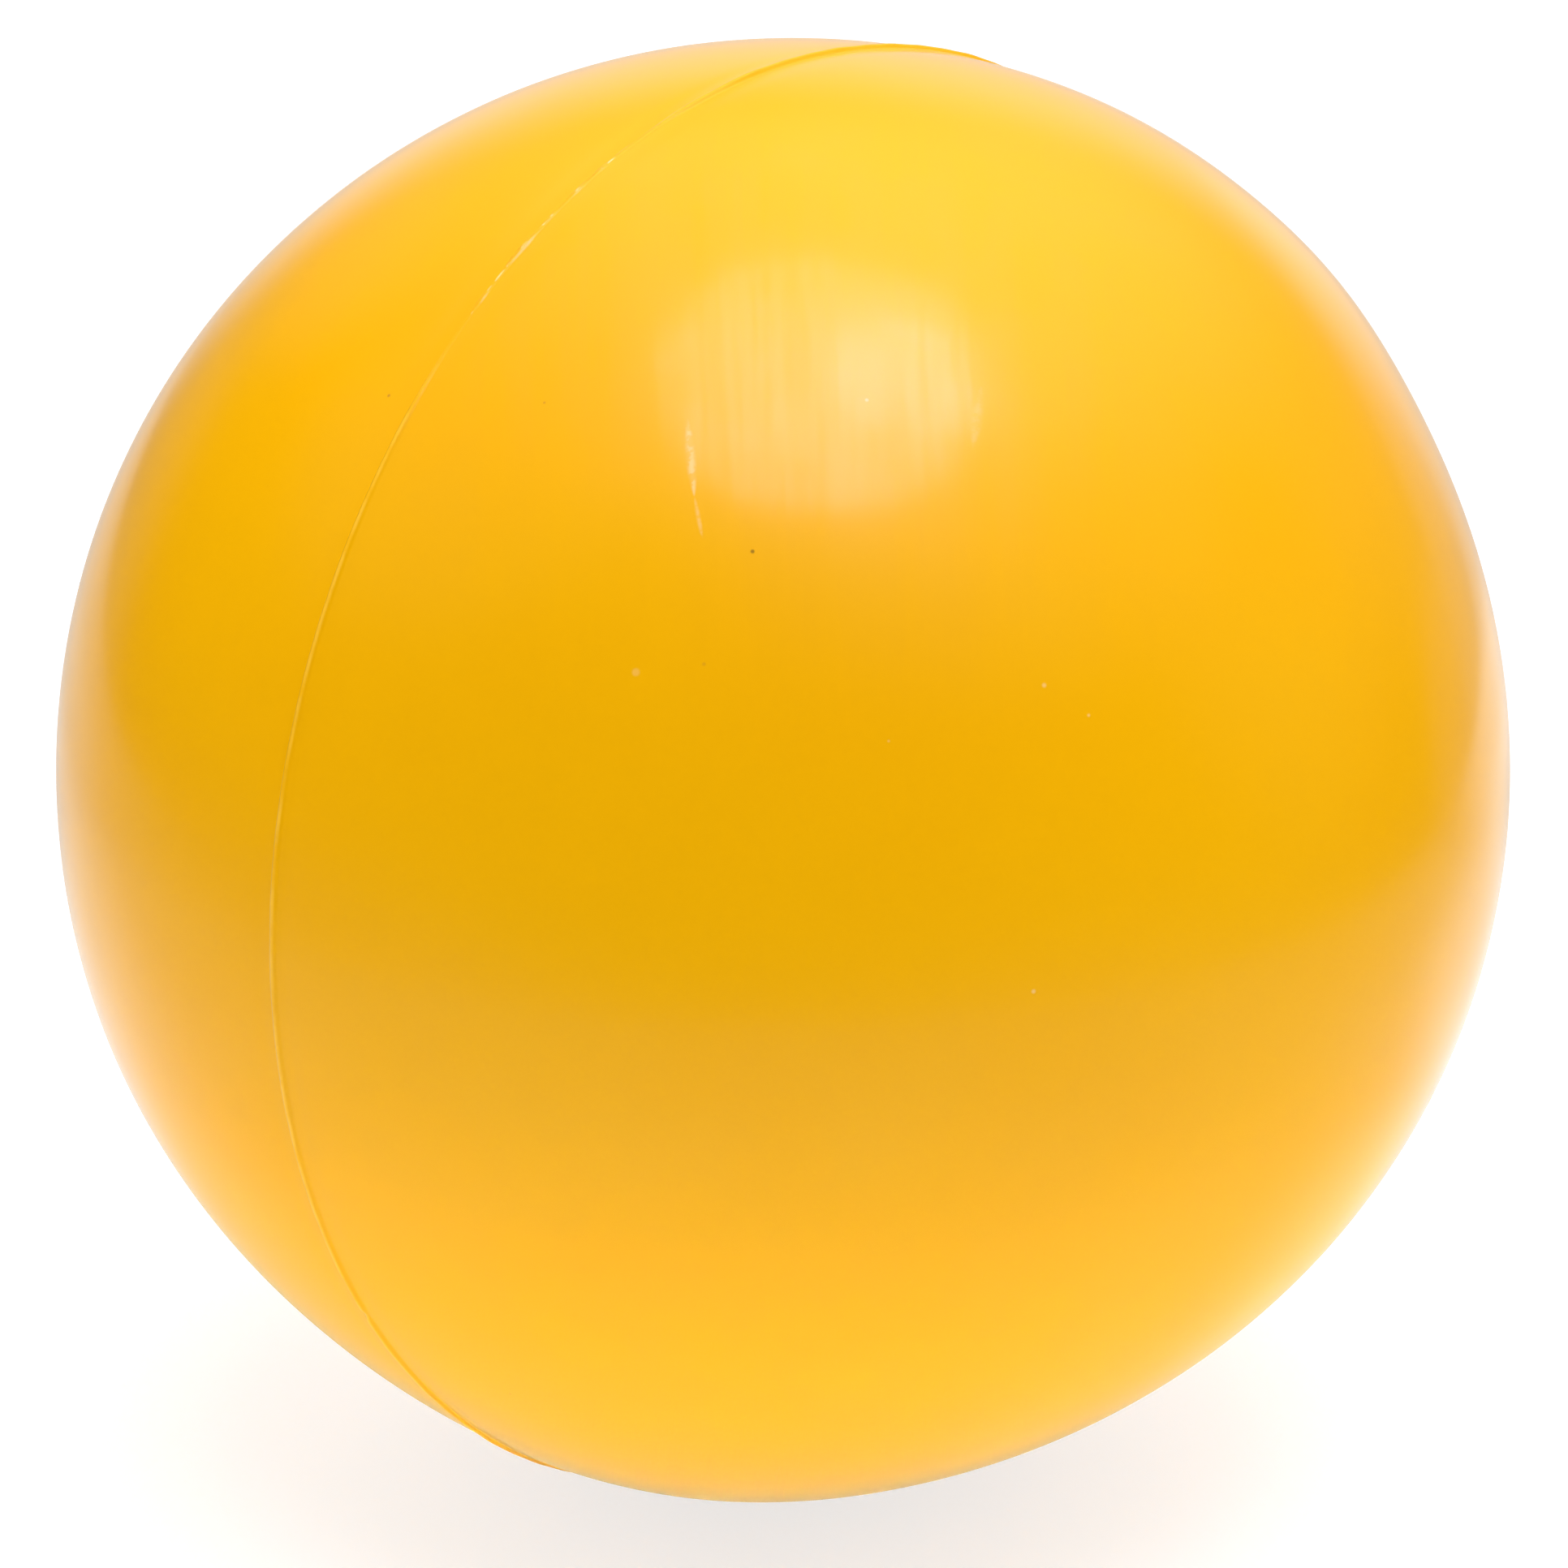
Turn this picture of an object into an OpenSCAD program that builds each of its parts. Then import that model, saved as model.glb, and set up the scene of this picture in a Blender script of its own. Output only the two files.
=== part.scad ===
// Moulded rubber dodgeball: a two-part cover over a nylon winding, a lapped bladder and a needle valve.
// The origin is the ball's centre. The cover's halves meet in the plane y = 0, and the valve looks along +Y.
// Every profile is drawn with x as the distance from the valve's axis and y as the height along it.

/* [Ball] */
// Outside diameter of the ball when it is full
ball_d = 216; // [150:1:260]
// Thickness of the rubber cover
cover_t = 1.4; // [1:0.1:3]
// Thickness of the nylon winding
winding_t = 0.5; // [0.3:0.1:1]
// Thickness of the bladder
bladder_t = 0.7; // [0.4:0.1:1.5]
// Cement line between one bonded layer and the next
cement_gap = 0.1; // [0.05:0.05:0.3]

/* [Cover seam] */
// Height of the parting bead above the cover
bead_h = 0.55; // [0.2:0.05:1.2]
// Width of the parting bead over both halves
bead_w = 1; // [0.6:0.1:2.4]
// Depth of the shallow valley on each side of the bead
valley_depth = 0.12; // [0.05:0.01:0.3]
// Width of each valley
valley_w = 4; // [2:0.5:8]
// How far the skived edge of one half reaches under the other
skive_l = 2.6; // [1:0.1:6]
// Gap between the halves along the valve's axis
seam_gap = 0.1; // [0.05:0.01:0.2]

/* [Bladder seam] */
// Length of the lap where one bladder half lies inside the other
bladder_lap = 8; // [4:0.5:14]
// Length of the step that takes the inner rim under the outer one
joggle_l = 1.5; // [1:0.1:3]

/* [Valve opening] */
// Diameter of the moulded ring round the valve, on its crest
ring_d = 17; // [15:0.5:24]
// Radius of the ring's rounded crest
ring_crest_r = 1.1; // [0.6:0.1:1.5]
// How far the valve's face lies below the ring's crest
face_recess = 0.35; // [0.2:0.05:0.6]

/* [Valve housing] */
// Diameter of the boss that shows in the cover
boss_d = 11; // [10.5:0.1:13]
// Diameter of the flange that lies inside the bladder
flange_d = 32; // [26:1:44]
// Thickness of the flange
flange_t = 0.9; // [0.6:0.1:1.6]
// Diameter of the stem where it leaves the flange
stem_root_d = 12.4; // [11.6:0.1:15]
// Diameter of the stem at its inner end
stem_tip_d = 9.6; // [9:0.1:11]
// Radius of the fillet between flange and stem
stem_fillet_r = 2.2; // [1:0.1:3]
// Thickness of the floor that closes the housing's bore
floor_t = 1.6; // [1:0.1:3]
// Chamfer at the stem's inner end
stem_chamfer = 0.8; // [0.3:0.1:0.9]
// Diameter of the air hole in the floor
vent_d = 2.6; // [2.4:0.1:3.5]

/* [Valve patch] */
// How far the patch reaches past the flange onto the bladder
patch_lap = 7; // [4:0.5:14]
// Thickness of the patch
patch_t = 0.7; // [0.5:0.1:1.2]

/* [Valve plug] */
// Diameter of the plug over its sealing ribs
plug_d = 6.6; // [6:0.1:7]
// Height of each sealing rib above the shank
rib_h = 0.3; // [0.15:0.05:0.5]
// Width of each sealing rib where it leaves the shank
rib_w = 1.3; // [0.8:0.1:1.5]
// Number of sealing ribs
rib_count = 4; // [2:1:5]
// Length of the shank below the head
shank_l = 12.5; // [10:0.5:16]
// Diameter of the plug's head
head_d = 8.4; // [7.8:0.1:9]
// Thickness of the plug's head
head_t = 1.3; // [1:0.1:2]
// Radius of the rounded edges of the plug
plug_edge_r = 0.4; // [0.2:0.05:0.5]
// Running clearance round the plug
plug_clearance = 0.05; // [0.03:0.01:0.08]
// Room left below the plug's tip
tip_room = 0.3; // [0.1:0.1:1]

/* [Needle passage] */
// Diameter of the passage, for a standard inflating needle
passage_d = 2.2; // [1.8:0.1:2.6]
// Length of the passage down to the self-sealing slit
passage_l = 7; // [4:0.5:8]
// Diameter of the guide cone at the plug's face
cone_d = 4; // [3.2:0.1:4.6]
// Depth of the guide cone
cone_depth = 0.9; // [0.5:0.1:1.5]

/* [Hidden] */
$fn = 144;

// Radii of the layers, from the outside in
ball_r = ball_d / 2;
cover_in_r = ball_r - cover_t;
winding_r = cover_in_r - cement_gap;
winding_in_r = winding_r - winding_t;
bladder_r = winding_in_r - cement_gap;
bladder_in_r = bladder_r - bladder_t;
lap_r = bladder_in_r - cement_gap;
lap_in_r = lap_r - bladder_t;
flange_r = bladder_in_r - cement_gap;
flange_in_r = flange_r - flange_t;
patch_r = flange_in_r - cement_gap;
patch_in_r = patch_r - patch_t;

// The bead is an arc of this radius, and so is each valley
bead_arc_r = arc_radius(bead_w, bead_h);
valley_arc_r = arc_radius(valley_w, valley_depth);
valley_angle = asin((bead_w + valley_w) / ball_d);

// Heights along the valve's axis
crest_y = ball_r;
face_y = crest_y - face_recess;
seat_y = face_y - head_t;
tip_y = seat_y - shank_l;
bore_floor_y = tip_y - tip_room;
stem_end_y = bore_floor_y - floor_t;
stem_root_y = sqrt(pow(flange_in_r, 2) - pow(stem_root_d / 2, 2));

// Radii round the valve's axis
boss_r = boss_d / 2;
opening_r = boss_r + cement_gap;
bore_r = plug_d / 2 + plug_clearance;
shank_r = plug_d / 2 - rib_h;
seat_r = head_d / 2 + plug_clearance;

// The sealing ribs, from the plug's tip to its head
rib_arc_r = arc_radius(rib_w, rib_h);
rib_pitch = shank_l / (rib_count + 1);

// Larger than any cut that it serves
overrun = ball_d;

// Radius of the arc that is this wide and stands this high
function arc_radius(width, height) = (pow(width / 2, 2) + pow(height, 2)) / (2 * height);

// Half of a ring, between two radii from the ball's centre
module layer(outer_r, inner_r) {
    intersection() {
        difference() {
            circle(outer_r);
            circle(inner_r);
        }
        translate([0, -overrun]) square([overrun, 2 * overrun]);
    }
}

// The part of a profile between two heights
module between(low_y, high_y) {
    intersection() {
        children();
        translate([0, low_y]) square([overrun, high_y - low_y]);
    }
}

// The part of a profile on the valve's side of the ball, out to a distance from the axis
module round_valve(reach_r) {
    intersection() {
        children();
        square([reach_r, overrun]);
    }
}

// A hole round the valve's axis, from one height outwards
module hole(hole_r, from_y) {
    translate([0, from_y]) square([hole_r, overrun]);
}

// A rectangle from the axis, with its outer corners rounded
module rounded_disc(disc_r, low_y, high_y, edge_r) {
    hub_r = disc_r - edge_r;
    translate([0, low_y]) square([hub_r, high_y - low_y]);
    translate([0, low_y + edge_r]) square([disc_r, high_y - low_y - 2 * edge_r]);
    for (y = [low_y + edge_r, high_y - edge_r]) {
        translate([hub_r, y]) circle(edge_r);
    }
}

// Turns a profile round the valve's axis
module revolve() {
    rotate([-90, 0, 0]) rotate_extrude() children();
}

// The whole cover's profile with the bead and its two valleys
module cover_profile() {
    difference() {
        layer(ball_r, cover_in_r);
        for (side = [-1, 1]) {
            rotate(side * valley_angle) translate([ball_r - valley_depth + valley_arc_r, 0]) circle(valley_arc_r);
        }
    }
    difference() {
        between(-bead_w / 2, bead_w / 2) translate([ball_r + bead_h - bead_arc_r, 0]) circle(bead_arc_r);
        circle(cover_in_r);
    }
}

// The side of the skived joint towards -Y, with its edge moved along the axis by a shift
module below_skive(shift) {
    polygon([
        [0, -overrun],
        [overrun, -overrun],
        [overrun, shift],
        [ball_r, shift],
        [cover_in_r, shift - skive_l],
        [0, shift - skive_l],
    ]);
}

module cover_front() {
    color("#f5b400") revolve() intersection() {
        cover_profile();
        below_skive(-seam_gap / 2);
    }
}

module cover_valve_side() {
    color("#f0ad00") revolve() difference() {
        union() {
            cover_profile();
            valve_ring_profile();
        }
        below_skive(seam_gap / 2);
        hole(opening_r, 0);
    }
}

// Low ring moulded round the valve, with its crest level with the ball's pole
module valve_ring_profile() {
    difference() {
        translate([ring_d / 2, crest_y - ring_crest_r]) circle(ring_crest_r);
        circle(cover_in_r);
    }
}

module winding() {
    color("#e9e4d6") revolve() difference() {
        layer(winding_r, winding_in_r);
        hole(opening_r, 0);
    }
}

module bladder_front() {
    color("#2b2b2d") revolve() between(-overrun, bladder_lap / 2) layer(bladder_r, bladder_in_r);
}

module bladder_valve_side() {
    step_y = bladder_lap / 2 + cement_gap;
    color("#343437") revolve() difference() {
        union() {
            between(step_y, overrun) layer(bladder_r, bladder_in_r);
            between(step_y, step_y + joggle_l) layer(bladder_r, lap_in_r);
            between(-bladder_lap / 2, step_y + joggle_l) layer(lap_r, lap_in_r);
        }
        hole(opening_r, 0);
    }
}

// The patch lies under the flange, steps up past its rim and goes on under the bladder
module valve_patch() {
    step_r = flange_d / 2 + cement_gap;
    color("#3c3a38") revolve() {
        difference() {
            round_valve(step_r + patch_t) layer(patch_r, patch_in_r);
            hole(stem_root_d / 2 + stem_fillet_r + cement_gap, 0);
        }
        difference() {
            round_valve(step_r + patch_t) layer(flange_r, patch_in_r);
            hole(step_r, 0);
        }
        difference() {
            round_valve(step_r + patch_lap) layer(flange_r, flange_r - patch_t);
            hole(step_r, 0);
        }
    }
}

// Outside of the boss and the stem, with the fillet that runs out into the flange
module stem_profile() {
    root_r = stem_root_d / 2;
    polygon([
        [0, face_y],
        [boss_r, face_y],
        [boss_r, stem_root_y + flange_t / 2],
        [root_r, stem_root_y + flange_t / 2],
        [root_r, stem_root_y - stem_fillet_r],
        [stem_tip_d / 2, stem_end_y + stem_chamfer],
        [stem_tip_d / 2 - stem_chamfer, stem_end_y],
        [0, stem_end_y],
    ]);
    translate([root_r + stem_fillet_r, stem_root_y - stem_fillet_r]) difference() {
        translate([-2 * stem_fillet_r, 0]) square([2 * stem_fillet_r, stem_fillet_r + flange_t / 2]);
        circle(stem_fillet_r);
    }
}

module valve_housing() {
    color("#232325") difference() {
        union() {
            revolve() round_valve(flange_d / 2) layer(flange_r, flange_in_r);
            revolve() stem_profile();
        }
        revolve() {
            hole(seat_r, seat_y - plug_clearance);
            hole(bore_r, bore_floor_y);
            hole(vent_d / 2, 0);
        }
    }
}

module valve_plug() {
    color("#1b1b1c") revolve() difference() {
        union() {
            rounded_disc(head_d / 2, seat_y, face_y, plug_edge_r);
            rounded_disc(shank_r, tip_y, face_y - plug_edge_r, plug_edge_r);
            for (i = [1:rib_count]) {
                translate([plug_d / 2 - rib_arc_r, tip_y + i * rib_pitch]) circle(rib_arc_r);
            }
        }
        hole(passage_d / 2, face_y - passage_l);
        polygon([
            [0, face_y - cone_depth],
            [passage_d / 2, face_y - cone_depth],
            [cone_d / 2, face_y],
            [cone_d / 2, face_y + overrun],
            [0, face_y + overrun],
        ]);
    }
}

cover_front();
cover_valve_side();
winding();
bladder_front();
bladder_valve_side();
valve_patch();
valve_housing();
valve_plug();
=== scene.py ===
import math

import bmesh
import bpy
import numpy as np
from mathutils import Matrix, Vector


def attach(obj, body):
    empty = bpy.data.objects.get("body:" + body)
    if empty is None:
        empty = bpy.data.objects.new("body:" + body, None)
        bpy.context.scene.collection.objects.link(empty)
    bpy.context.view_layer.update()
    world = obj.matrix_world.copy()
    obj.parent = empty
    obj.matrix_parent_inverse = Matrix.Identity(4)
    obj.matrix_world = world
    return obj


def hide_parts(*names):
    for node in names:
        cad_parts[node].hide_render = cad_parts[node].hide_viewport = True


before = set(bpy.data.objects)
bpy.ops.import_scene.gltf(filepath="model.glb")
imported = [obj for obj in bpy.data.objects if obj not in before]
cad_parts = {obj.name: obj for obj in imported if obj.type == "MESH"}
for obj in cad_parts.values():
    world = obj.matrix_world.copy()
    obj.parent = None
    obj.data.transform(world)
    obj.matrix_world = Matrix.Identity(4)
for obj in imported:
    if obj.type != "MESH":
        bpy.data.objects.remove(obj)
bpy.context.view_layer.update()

# The scene is in metres and the ball's sizes below are in millimetres
MM = 0.001

# The ball, as part.scad makes it: the valve looks along +Y and the seam lies in the plane y = 0
BALL_R = 108.0
COVER_IN_R = 106.6
SKIVE_L = 2.6
SEAM_GAP = 0.1
OPENING_R = 5.6
RING_R = 8.5
RING_CREST_R = 1.1

# The table top, just under the ball's lowest point
FLOOR_Z = -108.6

# The photograph: its size, where the ball's centre falls in it, and how the camera stood
PHOTO_SIZE = 1932
BALL_CENTRE_PX = (965.8, 944.3)
CAMERA_AZIMUTH = math.radians(-48.45)
CAMERA_ELEVATION = math.radians(20.13)
CAMERA_DISTANCE = 1.278
LENS = 197.5
SENSOR = 36.0
PX_PER_UNIT = PHOTO_SIZE * LENS / SENSOR

# Small marks on the cover, by their place in the photograph
DARK_SPECK_PX = (927, 681)
RUST_SPECK_PX = (478, 488)
LEFT_SPECK_PX = (670, 497)
EDGE_SPECK_PX = (308, 397)
LOW_SPECK_PX = (629, 1717)
PALE_SPECK_PX = (1287, 846)
PALE_SPECK_RIGHT_PX = (1342, 883)
PALE_SPECK_LOW_PX = (1274, 1224)
PALE_SMEAR_PX = (783, 830)
FAINT_SPECK_PX = (867, 820)
FAINT_SPECK_LOW_PX = (1095, 915)
# The scuffs' pale colour is partly a painted highlight where they catch light
SCUFF_HIGHLIGHT_TOP_PX = (847, 518)
SCUFF_HIGHLIGHT_MIDDLE_PX = (855, 612)
SCUFF_HIGHLIGHT_BOTTOM_PX = (866, 668)
SECOND_SCUFF_HIGHLIGHT_TOP_PX = (1209, 478)
SECOND_SCUFF_HIGHLIGHT_BOTTOM_PX = (1199, 552)
PALE_DOT_PX = (1068, 494)
DULL_STRIPE_TOP_PX = (1004, 320)
DULL_STRIPE_BOTTOM_PX = (1012, 660)
THIN_STRIPE_TOP_PX = (962, 315)
THIN_STRIPE_BOTTOM_PX = (966, 665)

# The place in the photograph round which the streaks of the highlight are strongest
FLOW_CENTRE_PX = (1010, 480)


def camera_axes():
    """The camera's right, up and back directions."""
    sin_a = math.sin(CAMERA_AZIMUTH)
    cos_a = math.cos(CAMERA_AZIMUTH)
    sin_e = math.sin(CAMERA_ELEVATION)
    cos_e = math.cos(CAMERA_ELEVATION)
    right = Vector((cos_a, sin_a, 0))
    back = Vector((sin_a * cos_e, -cos_a * cos_e, sin_e))
    return right, back.cross(right), back


RIGHT, UP, BACK = camera_axes()
LEVEL_BACK = Vector((BACK.x, BACK.y, 0)).normalized()


def toward(azimuth, elevation):
    """The direction so many degrees right of the camera, as seen from the ball, and above the horizon."""
    turn = math.radians(azimuth)
    rise = math.radians(elevation)
    level = LEVEL_BACK * math.cos(turn) + RIGHT * math.sin(turn)
    return level * math.cos(rise) + Vector((0, 0, 1)) * math.sin(rise)


def on_ball(pixel):
    """The point on the ball, in metres, that the photograph shows at a pixel."""
    across = (pixel[0] - BALL_CENTRE_PX[0]) / PX_PER_UNIT
    down = (pixel[1] - BALL_CENTRE_PX[1]) / PX_PER_UNIT
    ray = (RIGHT * across - UP * down - BACK).normalized()
    start = BACK * CAMERA_DISTANCE
    along = ray.dot(start)
    reach = along * along - start.length_squared + (BALL_R * MM) ** 2
    return start + ray * (-along - math.sqrt(max(reach, 0)))


def on_outline(clock):
    """The unit vector to a point of the ball's outline, in degrees clockwise from three o'clock."""
    sink = BALL_R * MM / CAMERA_DISTANCE
    turn = math.radians(clock)
    rim = RIGHT * math.cos(turn) - UP * math.sin(turn)
    return np.array(rim * math.sqrt(1 - sink * sink) + BACK * sink)


def on_floor(across, near):
    """The floor's point, in metres, so many millimetres to the camera's right and towards it."""
    return (RIGHT * across + LEVEL_BACK * near) * MM + Vector((0, 0, FLOOR_Z * MM))


def smooth(low, high, value):
    """Runs from 0 at low to 1 at high with no corner."""
    share = np.clip((value - low) / (high - low), 0, 1)
    return share * share * (3 - 2 * share)


def bump(value, centre, spread):
    """A rounded bump of height 1."""
    return np.exp(-0.5 * ((value - centre) / spread) ** 2)


def swell(normals, clock, height, spread):
    """A low round swelling of the cover, set where it shows on the ball's outline."""
    cosine = np.clip(normals @ on_outline(clock), -1, 1)
    return height * bump(np.degrees(np.arccos(cosine)), 0, spread)


def ripple(normals, seed, waves, height, density):
    """Soft unevenness of the moulded skin, made of crossing waves."""
    rng = np.random.default_rng(seed)
    total = np.zeros(len(normals))
    for _ in range(waves):
        direction = rng.normal(size=3)
        direction *= density * rng.uniform(0.6, 1.4) / np.linalg.norm(direction)
        total += np.sin(normals @ direction + rng.uniform(0, 2 * math.pi))
    return height * total / math.sqrt(waves)


# Where the ball departs from a true sphere: the place on the outline in degrees clockwise from three o'clock,
# the height in millimetres and the spread in degrees
SWELLS = (
    (303, 1.45, 14),
    (319, 0.7, 7),
    (100, 1.45, 14),
    (159, 0.25, 13),
    (234, -0.2, 19),
    (343, -0.35, 24),
    (55, -0.35, 16),
)

# How far the skin lies off the ball's nominal radius where nothing else moves it, in millimetres
BASE_LIFT = -0.2

# Degrees from the valve within which the cover is true, and from which it is as uneven as elsewhere
TRUE_WITHIN = 12
UNEVEN_FROM = 26


def body_lift(normals):
    """How far the cover stands above a true sphere, apart from its seam."""
    lift = np.full(len(normals), BASE_LIFT)
    for clock, height, spread in SWELLS:
        lift += swell(normals, clock, height, spread)
    lift += ripple(normals, seed=4, waves=9, height=0.05, density=7)
    lift += ripple(normals, seed=9, waves=12, height=0.006, density=26)
    from_valve = np.degrees(np.arccos(np.clip(normals[:, 1], -1, 1)))
    return lift * smooth(TRUE_WITHIN, UNEVEN_FROM, from_valve)


# Height of the parting bead in millimetres, by the angle round the seam from +X over the top
BEAD_HEIGHTS = {
    0: 0.55,
    40: 0.5,
    66: 0.58,
    93: 0.62,
    100: 0.4,
    106: 0.035,
    129: 0.04,
    139: 0.26,
    155: 0.33,
    180: 0.32,
    200: 0.4,
    212: 0.48,
    240: 0.5,
    275: 0.42,
    320: 0.42,
    360: 0.55,
}

# The bead's half widths on the front's and the valve's side of the seam, and the shallow valleys beside it:
# their depth, their distance from the seam and their spread, in millimetres
BEAD_HALF_WIDTH_FRONT = 0.62
BEAD_HALF_WIDTH_BACK = 0.5
VALLEY_DEPTH = 0.06
VALLEY_CENTRE = 2.4
VALLEY_SPREAD = 0.9

# The bead's slight unsteadiness, as a share of its height, and the waves round the seam that make it up
BEAD_UNSTEADY = 0.03
BEAD_WAVES = (41, 67, 113)

# How the bead's flanks fall away: the share of its half width that the crest takes, and their steepness
CREST_SHARE = 0.85
FLANK_STEEPNESS = 3.2

# A low bead is narrower: the share of its half width that it starts with, the share that it gains, and the
# height in millimetres at which it has gained all of it
LOW_WIDTH = 0.55
WIDTH_GAIN = 0.65
FULL_WIDTH_HEIGHT = 0.5

# Short raised tears on the stretch of the bead that was trimmed low: degrees round the seam, height, spread
TEARS = (
    (108.7, 0.1, 0.4),
    (111.1, 0.12, 0.5),
    (114.0, 0.16, 0.5),
    (117.4, 0.1, 0.4),
    (120.4, 0.22, 0.7),
    (122.0, 0.12, 0.6),
    (126.2, 0.13, 0.5),
)

# A nick in the bead, low on the left: degrees round the seam, depth as a share of the bead, spread
NICK_TURN = 213.2
NICK_DEPTH = 0.7
NICK_SPREAD = 0.35


def bead_height(turn):
    """Height of the bead's crest at an angle round the seam."""
    angles = np.array(sorted(BEAD_HEIGHTS))
    heights = np.array([BEAD_HEIGHTS[angle] for angle in angles])
    shares = np.clip(np.searchsorted(angles, turn, side="right") - 1, 0, len(angles) - 2)
    blend = smooth(angles[shares], angles[shares + 1], turn)
    height = heights[shares] * (1 - blend) + heights[shares + 1] * blend
    unsteady = sum(np.sin(np.radians(turn) * waves + waves) for waves in BEAD_WAVES)
    return height * (1 + BEAD_UNSTEADY * unsteady)


def torn_flash(turn):
    """Height of the tears at an angle round the seam."""
    return sum(height * bump(turn, place, spread) for place, height, spread in TEARS)


def bead_lift(turn, along):
    """Height of the bead and its valleys, at an angle round the seam and a distance from it."""
    nick = 1 - NICK_DEPTH * bump(turn, NICK_TURN, NICK_SPREAD)
    crest = (bead_height(turn) + torn_flash(turn)) * nick
    half_width = np.where(along > 0, BEAD_HALF_WIDTH_BACK, BEAD_HALF_WIDTH_FRONT)
    half_width = half_width * (LOW_WIDTH + WIDTH_GAIN * smooth(0, FULL_WIDTH_HEIGHT, crest))
    across = np.abs(along) / half_width
    valley = VALLEY_DEPTH * bump(np.abs(along), VALLEY_CENTRE, VALLEY_SPREAD)
    return crest * np.exp(-((across / CREST_SHARE) ** FLANK_STEEPNESS)) - valley


def outer_point(points):
    """Moves points of a true sphere to the cover's real outer face."""
    normals = points / np.linalg.norm(points, axis=1)[:, None]
    along = BALL_R * np.arcsin(np.clip(normals[:, 1], -1, 1))
    turn = np.degrees(np.arctan2(normals[:, 2], normals[:, 0])) % 360
    lift = body_lift(normals) + bead_lift(turn, along)
    return normals * (BALL_R + lift)[:, None]


class Skin:
    """Rings of points round the valve's axis, and the faces between them."""

    def __init__(self):
        self.points = []
        self.faces = []

    def ring(self, reach, height, count, shape=None):
        """Adds a ring at a distance from the axis and a height along it, and returns its point numbers."""
        turn = np.arange(count) * 2 * math.pi / count
        points = np.stack([reach * np.cos(turn), np.full(count, height), reach * np.sin(turn)], axis=1)
        if shape:
            points = shape(points)
        first = len(self.points)
        self.points.extend(points.tolist())
        return list(range(first, first + count))

    def join(self, one, other):
        """Fills the band between two rings. One may have twice as many points as the other."""
        if len(one) > len(other):
            one, other = other, one
        count = len(one)
        if len(other) == count:
            for i in range(count):
                self.faces.append((one[i - 1], one[i], other[i], other[i - 1]))
            return
        for i in range(count):
            after = (i + 1) % count
            left = other[2 * i]
            middle = other[2 * i + 1]
            right = other[(2 * i + 2) % (2 * count)]
            self.faces.append((one[i], left, middle))
            self.faces.append((one[i], middle, one[after]))
            self.faces.append((one[after], middle, right))

    def chain(self, rings):
        """Joins each ring to the next."""
        for one, other in zip(rings, rings[1:]):
            self.join(one, other)

    def cap(self, rim, radius, rim_angle, shape=None):
        """Closes a ring over the -Y pole with an even grid. The ring lies rim_angle from that pole."""
        # The grid is a square, and each of its sides takes a quarter of the rim's points
        steps = len(rim) // 8
        numbers = {}
        for i in range(-steps, steps + 1):
            for j in range(-steps, steps + 1):
                share = max(abs(i), abs(j))
                turn = square_turn(i, j)
                if share == steps:
                    numbers[i, j] = rim[round(turn / (2 * math.pi) * len(rim)) % len(rim)]
                    continue
                angle = rim_angle * share / steps
                reach = radius * math.sin(angle)
                numbers[i, j] = len(self.points)
                height = -radius * math.cos(angle)
                self.points.append((reach * math.cos(turn), height, reach * math.sin(turn)))
        if shape:
            inside = sorted(set(numbers.values()) - set(rim))
            moved = shape(np.array([self.points[n] for n in inside]))
            for n, point in zip(inside, moved.tolist()):
                self.points[n] = point
        for i in range(-steps, steps):
            for j in range(-steps, steps):
                corners = (numbers[i, j], numbers[i + 1, j], numbers[i + 1, j + 1], numbers[i, j + 1])
                self.faces.append(corners)

    def piece(self, name, material, sharp_rings=()):
        """Makes the object, with smooth faces and a crease along the named rings."""
        mesh = bpy.data.meshes.new(name)
        mesh.from_pydata([[x * MM for x in point] for point in self.points], [], self.faces)
        work = bmesh.new()
        work.from_mesh(mesh)
        bmesh.ops.recalc_face_normals(work, faces=work.faces)
        creased = set()
        for ring in sharp_rings:
            creased.update(frozenset((ring[i - 1], ring[i])) for i in range(len(ring)))
        for edge in work.edges:
            if frozenset(v.index for v in edge.verts) in creased:
                edge.smooth = False
        for face in work.faces:
            face.smooth = True
        work.to_mesh(mesh)
        work.free()
        mesh.materials.append(material)
        obj = bpy.data.objects.new(name, mesh)
        bpy.context.scene.collection.objects.link(obj)
        return obj


def square_turn(i, j):
    """The angle of a square grid's point once the grid's squares are rounded into circles."""
    if i == 0 and j == 0:
        return 0.0
    if abs(i) >= abs(j):
        turn = math.pi / 4 * j / i
        return turn % (2 * math.pi) if i > 0 else turn + math.pi
    turn = math.pi / 2 - math.pi / 4 * i / j
    return turn if j > 0 else turn + math.pi


# Distances along the ball from the seam, in millimetres, at which the cover has rings
FINE_STEPS = [0, 0.1, 0.2, 0.3, 0.38, 0.46, 0.54, 0.62, 0.7, 0.8, 0.92, 1.1, 1.4, 1.8, 2.3, 2.9, 3.6, 4.4]
COARSE_START = 5.4
RING_SPACING = 1.3

# Points in a ring: near the seam, elsewhere on the outside, on the inside and round the valve
FINE_COUNT = 1024
COARSE_COUNT = 512
INNER_COUNT = 128
OPENING_COUNT = 256

# How far from its pole the front half turns from rings to an even grid
FRONT_CAP_ANGLE = math.radians(45)

# How deep the rings of the skived face lie, as shares of the wall's thickness
SKIVE_SHARES = (0.12, 0.35, 0.65, 1)

# Rings on the inside of each half
FRONT_INNER_RINGS = 16
VALVE_INNER_RINGS = 28

# The moulded ring: how far its foot and its fillet stand out from the crest, the fillet's rise, and the
# shares of the way up it at which the skin has rings
RING_FOOT = 1.4
FILLET = 0.55
FILLET_RISE = 0.06
FILLET_SHARES = (0.25, 0.5, 0.75)

# The crest's arc across the ring, in degrees
CREST_START = 12
CREST_STEP = 13
CREST_STEPS = 13

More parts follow.
